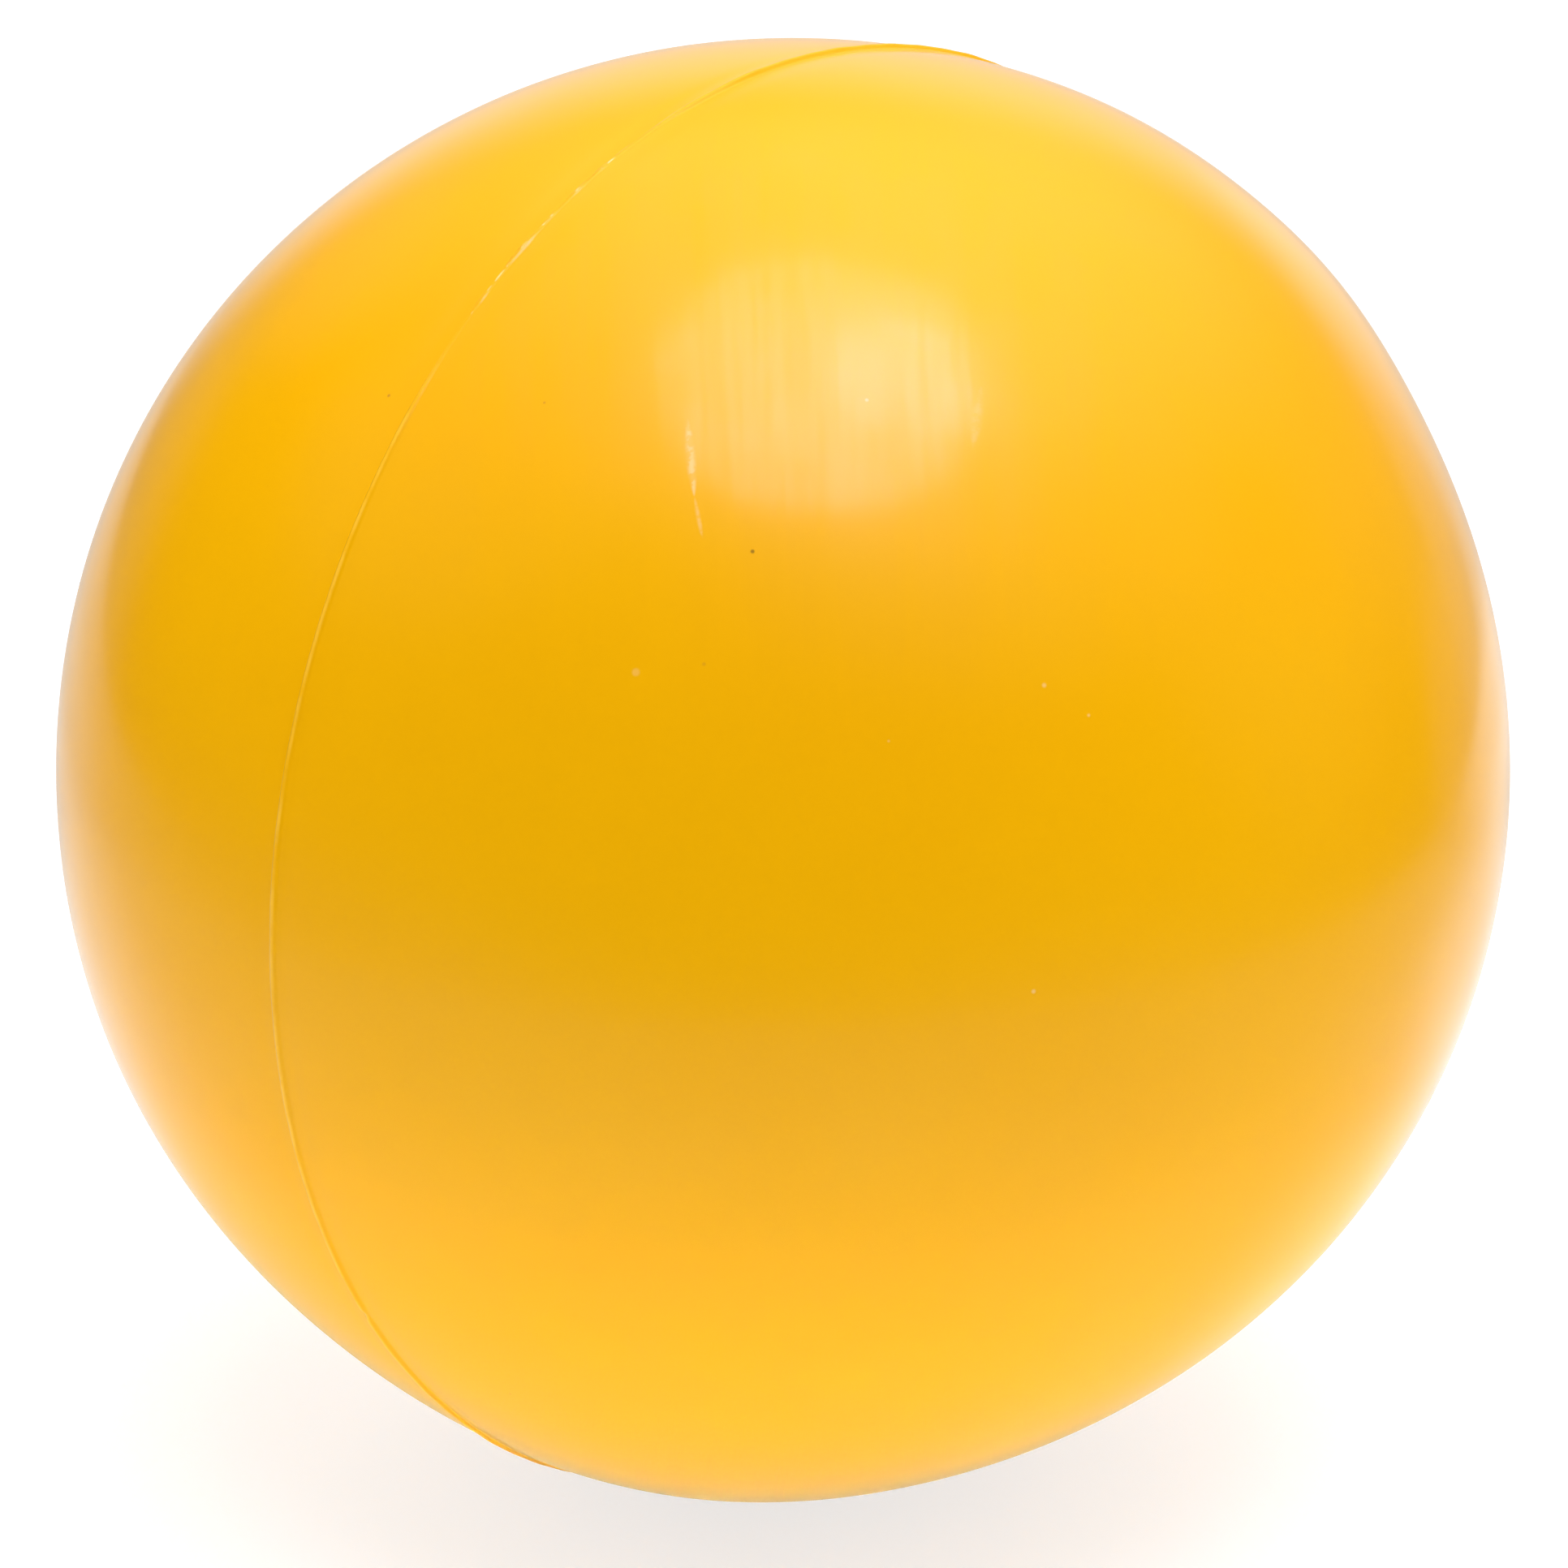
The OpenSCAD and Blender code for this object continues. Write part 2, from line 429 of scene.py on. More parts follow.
# The lip inside the ring: distance out from the opening and depth below the ball's surface
OPENING_LIP = ((1.3, 0.08), (0.7, 0.08), (0.3, 0.1), (0.1, 0.18), (0, 0.34))


def outer_rings(skin, side, coarse_end):
    """The cover's outer face from the seam towards the pole on one side, out to a distance along the ball."""
    count = round((coarse_end - COARSE_START) / RING_SPACING)
    coarse = [COARSE_START + (coarse_end - COARSE_START) * i / count for i in range(count + 1)]
    rings = []
    for along in FINE_STEPS:
        angle = side * along / BALL_R
        rings.append(skin.ring(BALL_R * math.cos(angle), BALL_R * math.sin(angle), FINE_COUNT, outer_point))
    for along in coarse:
        angle = side * along / BALL_R
        rings.append(skin.ring(BALL_R * math.cos(angle), BALL_R * math.sin(angle), COARSE_COUNT, outer_point))
    skin.chain(rings)
    return rings


def skived_face(skin, seam_ring, shift):
    """The slanting face between the halves, from the crest of the bead down to the inside of the cover."""
    rings = [seam_ring]
    count = FINE_COUNT
    for share in SKIVE_SHARES:
        radius = BALL_R - (BALL_R - COVER_IN_R) * share
        rings.append(skin.ring(radius, shift - SKIVE_L * share, count))
        count = max(count // 2, INNER_COUNT)
    skin.chain(rings)
    return rings[-1]


def cover_front(material):
    """The plain half of the cover."""
    skin = Skin()
    cap_reach = BALL_R * (math.pi / 2 - FRONT_CAP_ANGLE)
    outer = outer_rings(skin, -1, cap_reach)
    skin.cap(outer[-1], BALL_R, FRONT_CAP_ANGLE, outer_point)
    lip = skived_face(skin, outer[0], -SEAM_GAP / 2)
    start = math.asin((SEAM_GAP / 2 + SKIVE_L) / COVER_IN_R)
    inner = [lip]
    for i in range(1, FRONT_INNER_RINGS + 1):
        angle = start + (math.pi / 2 - FRONT_CAP_ANGLE - start) * i / FRONT_INNER_RINGS
        inner.append(skin.ring(COVER_IN_R * math.cos(angle), -COVER_IN_R * math.sin(angle), INNER_COUNT))
    skin.chain(inner)
    skin.cap(inner[-1], COVER_IN_R, FRONT_CAP_ANGLE)
    return skin.piece("cover_front_skin", material, [outer[0], lip])


def cover_valve_side(material):
    """The half of the cover with the ring moulded round the valve."""
    skin = Skin()
    ring_foot = RING_R + RING_CREST_R + RING_FOOT
    reach = BALL_R * (math.pi / 2 - math.asin(ring_foot / BALL_R))
    outer = outer_rings(skin, 1, reach)
    rings = [outer[-1]]
    for across, height in valve_ring_outline(ring_foot):
        rings.append(skin.ring(across, height, OPENING_COUNT))
    skin.chain(rings)
    inner_rim_y = math.sqrt(COVER_IN_R ** 2 - OPENING_R ** 2)
    inner = [rings[-1], skin.ring(OPENING_R, inner_rim_y, OPENING_COUNT)]
    opening_angle = math.asin(OPENING_R / COVER_IN_R)
    start = math.asin((SKIVE_L - SEAM_GAP / 2) / COVER_IN_R)
    for i in range(1, VALVE_INNER_RINGS + 1):
        angle = opening_angle + (math.pi / 2 + start - opening_angle) * i / (VALVE_INNER_RINGS + 1)
        inner.append(skin.ring(COVER_IN_R * math.sin(angle), COVER_IN_R * math.cos(angle), INNER_COUNT))
    lip = skived_face(skin, outer[0], SEAM_GAP / 2)
    inner.append(lip)
    skin.chain(inner)
    return skin.piece("cover_valve_side_skin", material, [outer[0], lip])


def valve_ring_outline(foot_reach):
    """Points across the moulded ring, from its outer foot over the crest and down into the opening."""
    foot_y = math.sqrt(BALL_R ** 2 - foot_reach ** 2)
    centre_y = BALL_R - RING_CREST_R
    fillet_reach = RING_R + RING_CREST_R + FILLET
    points = []
    for share in FILLET_SHARES:
        reach = foot_reach + (fillet_reach - foot_reach) * share
        points.append((reach, foot_y + FILLET_RISE * share * share))
    for i in range(CREST_STEPS):
        turn = math.radians(CREST_START + i * CREST_STEP)
        points.append((RING_R + RING_CREST_R * math.cos(turn), centre_y + RING_CREST_R * math.sin(turn)))
    floor_y = math.sqrt(BALL_R ** 2 - OPENING_R ** 2)
    for out, depth in OPENING_LIP:
        points.append((OPENING_R + out, floor_y - depth))
    return points


class Shader:
    """A short way to build a node tree."""

    def __init__(self, tree):
        self.nodes = tree.nodes
        self.links = tree.links
        self.nodes.clear()

    def add(self, kind, **inputs):
        """Adds a node. An input's value is a constant or another node's output."""
        node = self.nodes.new(kind)
        for key, value in inputs.items():
            self.put(node.inputs[socket_name(node, key)], value)
        return node

    def put(self, socket, value):
        """Sets a socket to a constant, or links it to another node's output."""
        if isinstance(value, bpy.types.NodeSocket):
            self.links.new(value, socket)
        else:
            socket.default_value = value

    def maths(self, operation, *values):
        """One step of arithmetic on numbers."""
        node = self.nodes.new("ShaderNodeMath")
        node.operation = operation
        for socket, value in zip(node.inputs, values):
            self.put(socket, value)
        return node.outputs[0]

    def product(self, first, *others):
        """Multiplies any count of numbers."""
        for value in others:
            first = self.maths("MULTIPLY", first, value)
        return first

    def weighted(self, *pairs):
        """Adds up numbers, each times its weight."""
        total = self.product(*pairs[0])
        for value, weight in pairs[1:]:
            total = self.maths("ADD", total, self.product(value, weight))
        return total

    def vector(self, operation, one, other):
        """One step of arithmetic on vectors."""
        node = self.nodes.new("ShaderNodeVectorMath")
        node.operation = operation
        self.put(node.inputs[0], one)
        self.put(node.inputs[1], other)
        return node.outputs["Value"] if operation in ("DOT_PRODUCT", "DISTANCE") else node.outputs["Vector"]

    def scaled(self, vector, share):
        """A vector times a number."""
        node = self.nodes.new("ShaderNodeVectorMath")
        node.operation = "SCALE"
        self.put(node.inputs[0], vector)
        self.put(node.inputs["Scale"], share)
        return node.outputs["Vector"]

    def remap(self, value, low, high, start=0.0, end=1.0):
        """Runs smoothly from start to end while the value runs from low to high."""
        node = self.nodes.new("ShaderNodeMapRange")
        node.interpolation_type = "SMOOTHSTEP"
        self.put(node.inputs["Value"], value)
        node.inputs["From Min"].default_value = low
        node.inputs["From Max"].default_value = high
        node.inputs["To Min"].default_value = start
        node.inputs["To Max"].default_value = end
        return node.outputs["Result"]

    def fade(self, length, between):
        """Runs from 0 to 1 between two lengths in millimetres."""
        return self.remap(length, between[0] * MM, between[1] * MM)

    def noise(self, vector, scale, detail, roughness):
        """Soft noise, about 0.5 in the middle."""
        node = self.nodes.new("ShaderNodeTexNoise")
        self.put(node.inputs["Vector"], vector)
        node.inputs["Scale"].default_value = scale
        node.inputs["Detail"].default_value = detail
        node.inputs["Roughness"].default_value = roughness
        return node.outputs["Fac"]

    def pattern(self, vector, facts, start=0.0, end=1.0):
        """Noise cut into marks with soft edges: start is the value between them and end the one inside."""
        scale, detail, roughness, low, high = facts
        return self.remap(self.noise(vector, scale, detail, roughness), low, high, start, end)

    def mix(self, share, one, other):
        """Mixes two colours."""
        # Of the node's sockets, inputs 6 and 7 and output 2 are the ones for colours
        node = self.nodes.new("ShaderNodeMix")
        node.data_type = "RGBA"
        self.put(node.inputs["Factor"], share)
        self.put(node.inputs[6], one)
        self.put(node.inputs[7], other)
        return node.outputs[2]

    def place(self):
        """The shaded point, in metres from the object's origin."""
        return self.add("ShaderNodeTexCoord").outputs["Object"]


def socket_name(node, key):
    """Finds the input whose name matches a keyword, such as base_color for Base Color."""
    wanted = key.replace("_", " ").lower()
    for socket in node.inputs:
        if socket.name.lower() == wanted:
            return socket.name
    raise KeyError(key)


def new_material(name):
    """An empty node material and its shader helper."""
    material = bpy.data.materials.new(name)
    material.use_nodes = True
    return material, Shader(material.node_tree)


def finish_material(shader, surface):
    """Links the last shader to the material's output."""
    output = shader.nodes.new("ShaderNodeOutputMaterial")
    shader.links.new(surface.outputs[0], output.inputs["Surface"])


# Share of a round mark's radius at which it reaches its full strength
SPOT_CORE = 0.45

# Width of a long mark at its ends, as a share of its width in the middle
TAPER_END = 0.25


def spot(shader, place, centre, radius):
    """A round mark of that radius in millimetres, with a soft edge."""
    distance = shader.vector("DISTANCE", place, tuple(centre))
    return shader.remap(distance, radius * MM, radius * MM * SPOT_CORE)


def stroke(shader, place, start, end, half_width):
    """A long mark between two points, with soft edges and tapered ends."""
    run = end - start
    from_start = shader.vector("SUBTRACT", place, tuple(start))
    share = shader.vector("DOT_PRODUCT", from_start, tuple(run / run.length_squared))
    share = shader.maths("MINIMUM", shader.maths("MAXIMUM", share, 0.0), 1.0)
    distance = shader.vector("DISTANCE", from_start, shader.scaled(tuple(run), share))
    to_end = shader.maths("SUBTRACT", 1.0, share)
    taper = shader.product(share, to_end, 4.0)
    width = shader.maths("MULTIPLY_ADD", taper, 1 - TAPER_END, TAPER_END)
    distance = shader.maths("DIVIDE", distance, width)
    return shader.remap(distance, half_width * MM, 0.0)


# The way the rubber ran in the mould, across and along the streaks that it left, and how drawn out they are
FLOW_ACROSS = (0.66, -0.75, 0.05)
FLOW_ALONG = (0.25, 0.17, 0.95)
FLOW_DRAW = 0.07

# Distances from their centre, in metres, at which the streaks are faint and at which they are strong, and how
# strong the faint ones are
FLOW_FAINT = 0.066
FLOW_STRONG = 0.034
FAINT_SHARE = 0.1

# Patterns of noise: its scale, detail and roughness, and the values of it at which a mark starts and is full
FINE_STREAKS = (620, 3, 0.6, 0.42, 0.68)
BROAD_STREAKS = (170, 2, 0.5, 0.4, 0.66)
FLOW_PATCHES = (30, 2, 0.5, 0.38, 0.6)
CREST_PATCHES = (160, 3, 0.6, 0.36, 0.56)
SLIVER_PIECES = (260, 3, 0.6, 0.5, 0.62)
TINT_PATCHES = (14, 3, 0.5, 0.35, 0.65)
SCUFF_AND_HIGHLIGHT_BREAKS = (520, 3, 0.65, 0.42, 0.6)
SHEEN_PATCHES = (18, 2, 0.5, 0.3, 0.7)
GLOSS_CLOUDS = (60, 2, 0.6, 0.42, 0.58)

# What is left of the crest's painted highlight and of a scuff, partly a painted highlight, between their
# patches, as a share
CREST_LEAST = 0.2
SCUFF_AND_HIGHLIGHT_LEAST = 0.25

# Plain noise of the skin's grain: scale, detail and roughness
SKIN_GRAIN = (420, 2, 0.5)


def flow_marks(shader, place):
    """Fine and broad streaks that run along the flow, strongest round one place on the upper side."""
    across = shader.vector("DOT_PRODUCT", place, FLOW_ACROSS)
    along = shader.vector("DOT_PRODUCT", place, FLOW_ALONG)
    steady = shader.product(along, FLOW_DRAW)
    stretched = shader.add("ShaderNodeCombineXYZ", X=across, Y=steady).outputs[0]
    fine = shader.pattern(stretched, FINE_STREAKS)
    broad = shader.pattern(stretched, BROAD_STREAKS)
    patches = shader.pattern(place, FLOW_PATCHES)
    from_centre = shader.vector("DISTANCE", place, tuple(on_ball(FLOW_CENTRE_PX)))
    strength = shader.remap(from_centre, FLOW_FAINT, FLOW_STRONG, FAINT_SHARE, 1.0)
    return shader.product(fine, patches, strength), shader.product(broad, strength)


# Half widths, in millimetres, of the painted highlight on the bead's crest and of the painted glints on the
# torn slivers, and the share of each at which it reaches its full strength
CREST_HALF_WIDTH = 0.46
CREST_CORE = 0.4
SLIVER_HALF_WIDTH = 0.24
SLIVER_CORE = 0.3

# Places along X and Z, in millimetres, between which the crest's painted highlight and the slivers' painted
# glints fade in or out
CREST_FADE_IN = (-66, -82)
SLIVER_FADE_IN = (-70, -64)
SLIVER_FADE_OUT = (-31, -36)
SLIVER_RISE = (0, 20)


def crest_highlight(shader, place):
    """Mask of the bead's crest on the side that the camera sees, where a painted highlight makes it paler; it
    is also made rougher.
    """
    split = shader.add("ShaderNodeSeparateXYZ", Vector=place)
    off_seam = shader.maths("ABSOLUTE", split.outputs["Y"])
    crest = shader.remap(off_seam, CREST_HALF_WIDTH * MM, CREST_HALF_WIDTH * MM * CREST_CORE)
    side = shader.fade(split.outputs["X"], CREST_FADE_IN)
    patches = shader.pattern(place, CREST_PATCHES, CREST_LEAST)
    return shader.product(crest, side, patches)


def sliver_glints(shader, place):
    """Painted glints: pale broken slivers on the stretch of the bead that was trimmed low, above the ball's
    middle, where the torn bead catches the light.
    """
    split = shader.add("ShaderNodeSeparateXYZ", Vector=place)
    off_seam = shader.maths("ABSOLUTE", split.outputs["Y"])
    crest = shader.remap(off_seam, SLIVER_HALF_WIDTH * MM, SLIVER_HALF_WIDTH * MM * SLIVER_CORE)
    start = shader.fade(split.outputs["X"], SLIVER_FADE_IN)
    end = shader.fade(split.outputs["X"], SLIVER_FADE_OUT)
    upper = shader.fade(split.outputs["Z"], SLIVER_RISE)
    pieces = shader.pattern(place, SLIVER_PIECES)
    return shader.product(crest, start, end, upper, pieces)


COVER_YELLOW = (0.88, 0.43, 0.001, 1)
COVER_YELLOW_WARM = (0.87, 0.415, 0.001, 1)
SPECK_DARK = (0.09, 0.035, 0.008, 1)
SPECK_RUST = (0.5, 0.17, 0.03, 1)
SPECK_PALE = (0.95, 0.62, 0.25, 1)
# A scuff's pale tone is partly a painted highlight
SCUFF_AND_HIGHLIGHT_PALE = (0.97, 0.78, 0.45, 1)
# The crest's pale tone is a painted highlight
CREST_HIGHLIGHT_PALE = (0.96, 0.55, 0.045, 1)
# The sliver's pale tone is a painted glint
SLIVER_GLINT_PALE = (0.98, 0.8, 0.35, 1)

# How far the colour goes towards the pale tone in a scuff, partly a painted highlight, in the painted
# highlight on the crest and in the painted glint of a sliver
SCUFF_AND_HIGHLIGHT_MIX = 0.42
CREST_HIGHLIGHT_MIX = 0.6
SLIVER_GLINT_MIX = 0.7

# The scuffs, whose pale colour is partly a painted highlight: from where to where, half width in millimetres,
# strength
SCUFFS_AND_HIGHLIGHTS = (
    (SCUFF_HIGHLIGHT_TOP_PX, SCUFF_HIGHLIGHT_MIDDLE_PX, 0.95, 1.0),
    (SCUFF_HIGHLIGHT_MIDDLE_PX, SCUFF_HIGHLIGHT_BOTTOM_PX, 0.5, 0.6),
    (SECOND_SCUFF_HIGHLIGHT_TOP_PX, SECOND_SCUFF_HIGHLIGHT_BOTTOM_PX, 1.1, 0.35),
)

# The specks: place, radius in millimetres, strength, colour
SPECKS = (
    (DARK_SPECK_PX, 0.42, 0.65, SPECK_DARK),
    (RUST_SPECK_PX, 0.42, 0.6, SPECK_RUST),
    (LEFT_SPECK_PX, 0.35, 0.45, SPECK_RUST),
    (EDGE_SPECK_PX, 0.3, 0.5, SPECK_RUST),
    (LOW_SPECK_PX, 0.3, 0.6, SPECK_RUST),
    (PALE_SPECK_PX, 0.5, 0.5, SPECK_PALE),
    (PALE_SPECK_RIGHT_PX, 0.4, 0.5, SPECK_PALE),
    (PALE_SPECK_LOW_PX, 0.5, 0.7, SPECK_PALE),
    (PALE_SMEAR_PX, 0.75, 0.22, SPECK_PALE),
    (FAINT_SPECK_PX, 0.4, 0.3, SPECK_RUST),
    (FAINT_SPECK_LOW_PX, 0.35, 0.4, SPECK_PALE),
    (PALE_DOT_PX, 0.4, 0.8, SPECK_PALE),
)

# Half widths, in millimetres, of the two dull stripes in the highlight
DULL_STRIPE_HALF_WIDTH = 3.6
THIN_STRIPE_HALF_WIDTH = 0.5

# The cover's gloss: its strength, and what the streaks, the two stripes and a faint cloudiness take from it
GLOSS = 0.46
GLOSS_OFF_BROAD = 0.12
GLOSS_OFF_FINE = 0.1
GLOSS_OFF_DULL = 0.12
GLOSS_OFF_THIN = 0.14
GLOSS_OFF_CLOUD = 0.08

# The cover's roughness: its range, and what the fine streaks, the scuffs and the crest under its painted
# highlight add
ROUGH_LOW = 0.125
ROUGH_HIGH = 0.15
ROUGH_FLOW = 0.03
ROUGH_SCUFF = 0.25
ROUGH_CREST = 0.1

# The rubber's refraction, and the thin duller layer over its gloss
RUBBER_IOR = 1.45
COAT_WEIGHT = 0.4
COAT_ROUGHNESS = 0.3

# The relief of the cover's skin: weights of its grain and its streaks, and its depth in millimetres
RELIEF_GRAIN = 0.25
RELIEF_FINE = 0.4
RELIEF_BROAD = 1.3
RELIEF_STRENGTH = 0.08
RELIEF_DEPTH = 0.1


def cover_color(shader, place, scuff_and_highlight, crest):
    """The yellow of the cover with its scuffs, partly a painted highlight, the painted highlight on the
    crest, the painted glints of the slivers, and its specks.
    """
    tint = shader.pattern(place, TINT_PATCHES)
    color = shader.mix(tint, COVER_YELLOW, COVER_YELLOW_WARM)
    # Scuffs, whose pale colour is partly a painted highlight
    color = shader.mix(shader.product(scuff_and_highlight, SCUFF_AND_HIGHLIGHT_MIX), color, SCUFF_AND_HIGHLIGHT_PALE)
    # The painted highlight on the bead's crest
    color = shader.mix(shader.product(crest, CREST_HIGHLIGHT_MIX), color, CREST_HIGHLIGHT_PALE)
    # The painted glints on the torn slivers
    color = shader.mix(shader.product(sliver_glints(shader, place), SLIVER_GLINT_MIX), color, SLIVER_GLINT_PALE)
    for pixel, radius, strength, paint in SPECKS:
        mark = shader.product(spot(shader, place, on_ball(pixel), radius), strength)
        color = shader.mix(mark, color, paint)
    return color


def scuffs_and_highlights(shader, place):
    """All scuffs together, broken up by fine noise. Their pale colour is partly a painted highlight."""
    scuff_and_highlight = 0.0
    for start, end, half_width, strength in SCUFFS_AND_HIGHLIGHTS:
        mark = stroke(shader, place, on_ball(start), on_ball(end), half_width)
        scuff_and_highlight = shader.maths("MAXIMUM", scuff_and_highlight, shader.product(mark, strength))
    breaks = shader.pattern(place, SCUFF_AND_HIGHLIGHT_BREAKS, SCUFF_AND_HIGHLIGHT_LEAST)
    return shader.product(scuff_and_highlight, breaks)


def cover_material():
    """Glossy moulded yellow rubber with faint flow marks, scuffs that are partly a painted highlight, specks
    of dirt, a painted highlight on the bead's crest and painted glints on its torn slivers.
    """
    material, shader = new_material("cover_yellow_rubber")
    place = shader.place()
    flow, broad_flow = flow_marks(shader, place)
    # The scuffs are rougher, and their pale colour is partly a painted highlight
    scuff_and_highlight = scuffs_and_highlights(shader, place)
    # The crest's painted highlight: paler colour, and more roughness
    crest = crest_highlight(shader, place)
    even = shader.pattern(place, SHEEN_PATCHES, ROUGH_LOW, ROUGH_HIGH)
    rough = shader.weighted((even, 1.0), (flow, ROUGH_FLOW), (scuff_and_highlight, ROUGH_SCUFF), (crest, ROUGH_CREST))
    dull_ends = on_ball(DULL_STRIPE_TOP_PX), on_ball(DULL_STRIPE_BOTTOM_PX)
    thin_ends = on_ball(THIN_STRIPE_TOP_PX), on_ball(THIN_STRIPE_BOTTOM_PX)
    dull = stroke(shader, place, *dull_ends, DULL_STRIPE_HALF_WIDTH)
    thin = stroke(shader, place, *thin_ends, THIN_STRIPE_HALF_WIDTH)
    cloud = shader.pattern(place, GLOSS_CLOUDS)
    film = shader.weighted(
        (broad_flow, GLOSS_OFF_BROAD),
        (flow, GLOSS_OFF_FINE),
        (dull, GLOSS_OFF_DULL),
        (thin, GLOSS_OFF_THIN),
        (cloud, GLOSS_OFF_CLOUD),
    )
    grain = shader.noise(place, *SKIN_GRAIN)
    relief = shader.weighted((grain, RELIEF_GRAIN), (flow, RELIEF_FINE), (broad_flow, RELIEF_BROAD))
    bumps = shader.add("ShaderNodeBump", Strength=RELIEF_STRENGTH, Distance=RELIEF_DEPTH * MM, Height=relief)
    surface = shader.add(
        "ShaderNodeBsdfPrincipled",
        Base_Color=cover_color(shader, place, scuff_and_highlight, crest),
        Roughness=rough,
        IOR=RUBBER_IOR,
        Specular_IOR_Level=shader.maths("SUBTRACT", GLOSS, film),
        Normal=bumps.outputs[0],
        Coat_Weight=COAT_WEIGHT,
        Coat_Roughness=COAT_ROUGHNESS,
        Coat_IOR=RUBBER_IOR,
    )
    finish_material(shader, surface)
    return material


# The rubbers of the bladder and the valve. The grain's height is in millimetres, and a larger scale is finer
RUBBERS = {
    "butyl_bladder": {
        "nodes": ("bladder_front", "bladder_valve_side"),
        "color": (0.02, 0.02, 0.021, 1),
        "dust": (0.05, 0.05, 0.05, 1),
        "roughness": 0.6,
        "scale": 500,
        "height": 0.05,
    },
    "patch_rubber": {
        "nodes": ("valve_patch",),
        "color": (0.04, 0.037, 0.033, 1),
        "dust": (0.075, 0.07, 0.062, 1),
        "roughness": 0.65,
        "scale": 900,
        "height": 0.05,
    },
    "housing_rubber": {
        "nodes": ("valve_housing",),
        "color": (0.018, 0.018, 0.019, 1),
        "dust": (0.035, 0.034, 0.033, 1),
        "roughness": 0.42,
        "scale": 1600,
        "height": 0.02,
    },
    "plug_rubber": {
        "nodes": ("valve_plug",),
        "color": (0.03, 0.03, 0.031, 1),
        "dust": (0.06, 0.058, 0.055, 1),
        "roughness": 0.5,
        "scale": 1800,
        "height": 0.02,
    },
}

# The grain of these rubbers: its noise's detail and roughness, how strong its relief is, how far it moves the
# surface's roughness to both sides, and between which values of the noise
GRAIN_TEXTURE = (3, 0.6)
GRAIN_RELIEF = 0.4
SHEEN_SPREAD = 0.06
SHEEN_RANGE = (0.3, 0.7)

# The dust on them: its scale as a share of the grain's, its noise, and the values between which it sets in
DUST_SCALE = 0.15
DUST_TEXTURE = (4, 0.6)
DUST_RANGE = (0.35, 0.7)


def dull_rubber(name, facts):
    """Dull rubber: two close tones, a fine grain and an uneven sheen."""
    material, shader = new_material(name)
    place = shader.place()
    dust = shader.noise(place, facts["scale"] * DUST_SCALE, *DUST_TEXTURE)
    tone = shader.remap(dust, *DUST_RANGE)
    grain = shader.noise(place, facts["scale"], *GRAIN_TEXTURE)
    low = facts["roughness"] - SHEEN_SPREAD
    high = facts["roughness"] + SHEEN_SPREAD
    relief = shader.add("ShaderNodeBump", Strength=GRAIN_RELIEF, Distance=facts["height"] * MM, Height=grain)
    surface = shader.add(
        "ShaderNodeBsdfPrincipled",
        Base_Color=shader.mix(tone, facts["color"], facts["dust"]),
        Roughness=shader.remap(grain, *SHEEN_RANGE, low, high),
        Normal=relief.outputs[0],
    )
    finish_material(shader, surface)
    return material


# The winding's thread: how far apart its turns lie, how deep it is between them and how much they stray, in
# millimetres, and the directions across its three lays
THREAD_PITCH = 1.1
THREAD_DEPTH = 0.3
THREAD_STRAY = 1.5
THREAD_LAYS = ((0.92, 0.3, 0.25), (-0.35, 0.35, 0.87), (0.3, -0.88, 0.36))

# A turn rises between these values of its sine wave, and this is the strength of its relief
THREAD_ROUND = (-0.2, 0.9)
THREAD_RELIEF = 0.6

# The noise that leads the turns astray, the pattern of the thread's fuzz and the brightness between its marks
STRAY_NOISE = (60, 2, 0.5)
THREAD_FUZZ = (900, 3, 0.6, 0.3, 0.7)
FUZZ_LEAST = 0.6

# Colour and roughness of the cement between the turns and of the nylon on their crests
THREAD_CEMENT = (0.42, 0.37, 0.27, 1)
THREAD_NYLON = (0.74, 0.71, 0.62, 1)
CEMENT_ROUGHNESS = 0.68
NYLON_ROUGHNESS = 0.46


def thread_material():
    """Cemented nylon thread, wound round the ball in three crossing lays."""
    material, shader = new_material("nylon_thread")
    place = shader.place()
    stray = shader.product(shader.noise(place, *STRAY_NOISE), THREAD_STRAY * MM)
    top = 0.0
    for lay in THREAD_LAYS:
        along = shader.maths("ADD", shader.vector("DOT_PRODUCT", place, lay), stray)
        turns = shader.maths("SINE", shader.product(along, 2 * math.pi / (THREAD_PITCH * MM)))
        top = shader.maths("MAXIMUM", top, shader.remap(turns, *THREAD_ROUND))
    tone = shader.product(top, shader.pattern(place, THREAD_FUZZ, FUZZ_LEAST))
    relief = shader.add("ShaderNodeBump", Strength=THREAD_RELIEF, Distance=THREAD_DEPTH * MM, Height=top)
    surface = shader.add(
        "ShaderNodeBsdfPrincipled",
        Base_Color=shader.mix(tone, THREAD_CEMENT, THREAD_NYLON),
        Roughness=shader.remap(tone, 0.0, 1.0, CEMENT_ROUGHNESS, NYLON_ROUGHNESS),
        Normal=relief.outputs[0],
    )
    finish_material(shader, surface)
    return material


def dress(nodes, material):
    """Gives carried-over CAD nodes their material."""
    for name in nodes:
        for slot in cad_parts[name].material_slots:
            slot.material = material


def dress_cad_nodes():
    """Gives every carried-over CAD node its own material."""
    dress(("winding",), thread_material())
    for name, facts in RUBBERS.items():
        dress(facts["nodes"], dull_rubber(name, facts))


def build_cover():
    """Both halves of the cover, in place of their CAD nodes."""
    material = cover_material()
    front = cover_front(material)
    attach(front, "ball")
    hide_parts("cover_front")
    valve_side = cover_valve_side(material)
    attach(valve_side, "ball")
    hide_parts("cover_valve_side")


